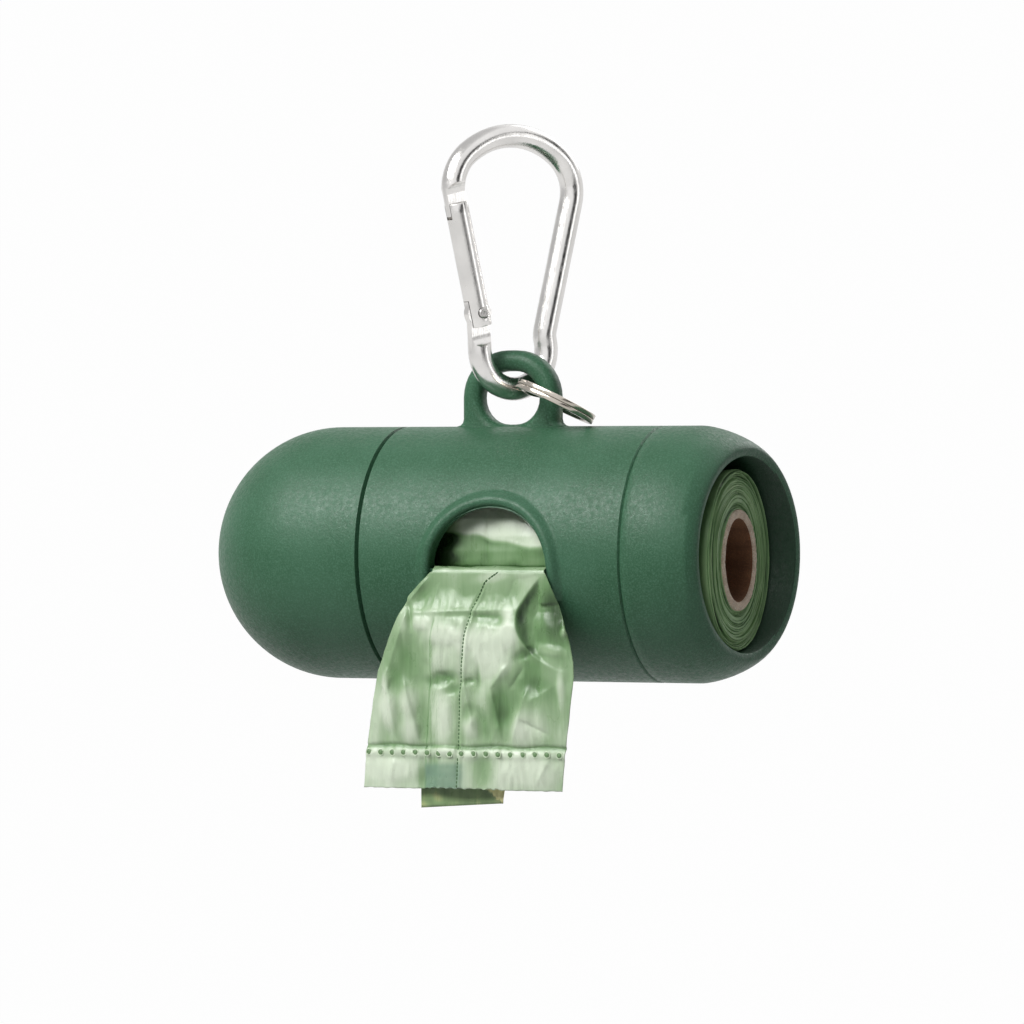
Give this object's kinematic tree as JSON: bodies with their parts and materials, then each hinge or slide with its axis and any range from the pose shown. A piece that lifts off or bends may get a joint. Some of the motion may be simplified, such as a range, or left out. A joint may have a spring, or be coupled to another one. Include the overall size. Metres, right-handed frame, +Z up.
{
  "type": "waste bag dispenser",
  "caption": "Capsule dispenser for rolled waste bags, with a screw cap, a half-round bag slot, a lug and split ring, and a small carabiner that hangs it from a lead.",
  "frame": {"origin": "the bearing point inside the top bend of the carabiner, where the loop that carries it lies", "axes": "+Z up, X along the capsule with the open end cap at +X and the screw cap at -X, -Y is the side that the bags come out of"},
  "size_m": [0.0959, 0.0436, 0.1118],
  "materials": {
    "rod": "brushed",
    "steel": "satin",
    "ring": "nickel plated",
    "shell": "fine spark-eroded grain",
    "seal": "matt",
    "core": "grey-brown board",
    "roll": "wound film",
    "film": "thin glossy film, slightly see-through"
  },
  "bodies": {
    "hook": {"carabiner_frame": "rod", "gate_rivet": "steel"},
    "gate": {"carabiner_gate": "rod", "gate_spring": "steel"},
    "capsule": {"centre_body": "shell", "right_cap": "shell", "leading_bag": "film", "bag_tail": "film"},
    "ring": {"split_ring": "ring"},
    "seal": {"cap_seal": "seal"},
    "screw_cap": {"left_cap": "shell"},
    "roll": {"roll_core": "core", "bag_roll": "roll"}
  },
  "joints": [
    {"name": "gate_hinge", "type": "hinge", "parent": "hook", "child": "gate", "pos_m": [-0.00386, -0.00572, -0.0274], "axis": [-0.829, 0.5592, 0], "range_deg": [0, 25], "stiffness_Nm_per_rad": 0.008, "springref_deg": -20.05},
    {"name": "hang_swing", "type": "hinge", "parent": "hook", "child": "capsule", "pos_m": [0, 0, -0.0398], "axis": [0.5592, 0.829, 0], "range_deg": [-10, 10]},
    {"name": "ring_tilt", "type": "hinge", "parent": "capsule", "child": "ring", "pos_m": [0.00348, -0.00506, -0.03909], "axis": [-0.3939, 0.9191, 0], "range_deg": [-6, 0]},
    {"name": "cap_turn", "type": "hinge", "parent": "capsule", "child": "seal", "pos_m": [0, 0, -0.067], "axis": [-1, 0, 0], "range_deg": [0, 450]},
    {"name": "cap_travel", "type": "slide", "parent": "seal", "child": "screw_cap", "axis": [-1, 0, 0], "range_m": [0, 0.0066]},
    {"name": "roll_spin", "type": "hinge", "parent": "capsule", "child": "roll", "pos_m": [0.012, 0, -0.0679], "axis": [1, 0, 0], "continuous": true}
  ],
  "couplings": [
    {"joint": "cap_travel", "follows": "cap_turn", "m_per_rad": 0.00082761}
  ]
}
